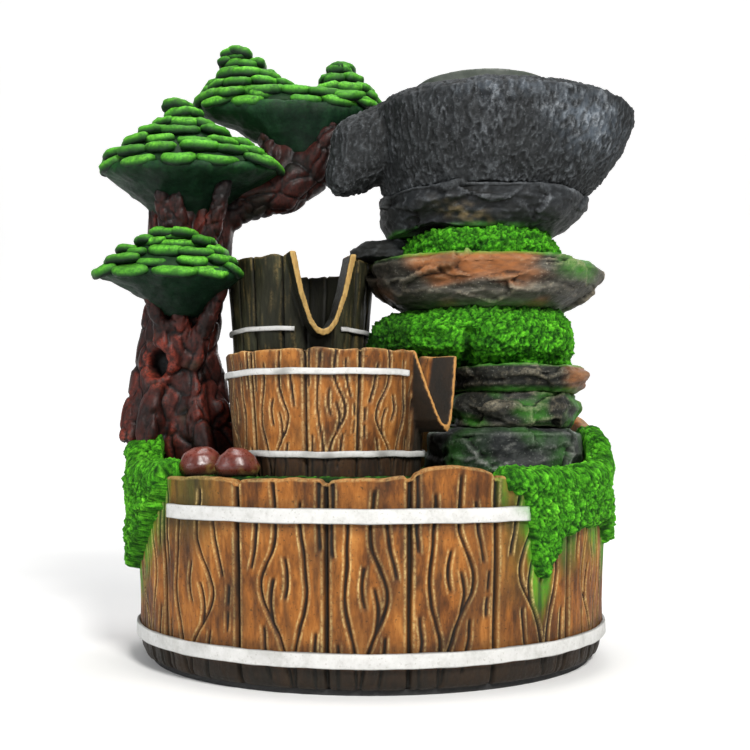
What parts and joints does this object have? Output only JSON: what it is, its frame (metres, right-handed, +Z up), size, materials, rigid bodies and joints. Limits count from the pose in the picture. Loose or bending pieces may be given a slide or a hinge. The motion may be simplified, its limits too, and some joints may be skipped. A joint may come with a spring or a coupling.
{
  "type": "tabletop water fountain",
  "caption": "Indoor water fountain: staved tub, bonsai tree, two spilling barrels and a rock stack with a stone bowl, round a hidden pump, hose and light.",
  "frame": {"origin": "middle of the flat face under the base pad", "axes": "+Z up, -Y out of the front, +X to the right as seen from the front"},
  "size_m": [0.222, 0.1754, 0.25],
  "materials": {
    "tub_wood": "painted resin, brushed orange-brown wood with black grooves",
    "strap_paint": "matte off-white paint",
    "barrel_wood": "painted resin, orange-brown wood with cream edges",
    "dark_wood": "painted resin, near-black olive wood",
    "bark": "painted resin, dark red-brown bark",
    "root_stone": "satin painted resin, red-brown",
    "leaf": "painted resin, bright green with dark gaps",
    "moss": "rough flocked green",
    "moss_floor": "rough dark green",
    "dark_rock": "painted resin, dark grey stone",
    "ledge_rock": "painted resin, grey stone with a green tint",
    "shelf_rock": "painted resin, brown and grey stone",
    "bowl_stone": "painted resin, hammered charcoal stone",
    "dish_glaze": "satin grey-green",
    "pump_plastic": "moulded black ABS",
    "grille_plastic": "moulded dark ABS",
    "dial_plastic": "moulded orange",
    "impeller_plastic": "moulded blue with a dark magnet",
    "shaft_ceramic": "polished white ceramic",
    "screw_steel": "stainless steel",
    "hose_vinyl": "milky vinyl",
    "soft_rubber": "matte black rubber",
    "lamp_white": "moulded white",
    "lamp_yellow": "warm white phosphor",
    "lamp_clear": "clear acrylic"
  },
  "bodies": {
    "fountain": {"base_pad": "soft_rubber", "main_tub": "tub_wood", "tub_lower_hoop": "strap_paint", "tub_upper_hoop": "strap_paint", "cord_grommet": "soft_rubber", "moss_deck": "moss_floor", "moss_left": "moss", "moss_right": "moss", "pebble_left": "root_stone", "pebble_right": "root_stone", "tree_trunk": "bark", "tree_branch": "bark", "outer_root": "bark", "foliage_low": "leaf", "foliage_middle": "leaf", "foliage_top_left": "leaf", "foliage_top_right": "leaf", "barrel_pedestal": "dark_rock", "upper_barrel": "dark_wood", "upper_barrel_hoop": "strap_paint", "middle_barrel": "barrel_wood", "middle_barrel_upper_hoop": "strap_paint", "middle_barrel_lower_hoop": "strap_paint", "rock_foot": "dark_rock", "rock_step": "ledge_rock", "rock_ledge": "ledge_rock", "moss_collar_low": "moss", "rock_shelf": "shelf_rock", "moss_collar_high": "moss", "rock_chock": "dark_rock", "rock_neck": "dark_rock", "stone_bowl": "bowl_stone", "pump_body": "pump_plastic", "volute_cover": "pump_plastic", "cover_screws": "screw_steel", "pump_shaft": "shaft_ceramic", "intake_grille": "grille_plastic", "dial_screw": "screw_steel", "suction_cups": "soft_rubber", "pump_gland": "soft_rubber", "riser_hose": "hose_vinyl", "hose_clip": "screw_steel", "jet_nozzle": "lamp_white", "led_ring": "lamp_white", "led_emitters": "lamp_yellow", "led_lens": "lamp_clear", "led_lead": "soft_rubber"},
    "impeller_body": {"impeller": "impeller_plastic"},
    "dial": {"flow_dial": "dial_plastic"},
    "lid": {"pump_lid": "moss_floor", "lid_pebble": "dark_rock"},
    "dish": {"light_dish": "dish_glaze"}
  },
  "joints": [
    {"name": "impeller_spin", "type": "hinge", "parent": "fountain", "child": "impeller_body", "pos_m": [0.05, 0, 0.024], "axis": [1, 0, 0], "continuous": true},
    {"name": "flow_dial_turn", "type": "hinge", "parent": "fountain", "child": "dial", "pos_m": [0.03, 0, 0.024], "axis": [1, 0, 0], "range_deg": [0, 90]},
    {"name": "pump_lid_lift", "type": "slide", "parent": "fountain", "child": "lid", "axis": [0, 0, 1], "range_m": [0, 0.06]},
    {"name": "light_dish_lift", "type": "slide", "parent": "fountain", "child": "dish", "axis": [0, 0, 1], "range_m": [0, 0.03]}
  ]
}
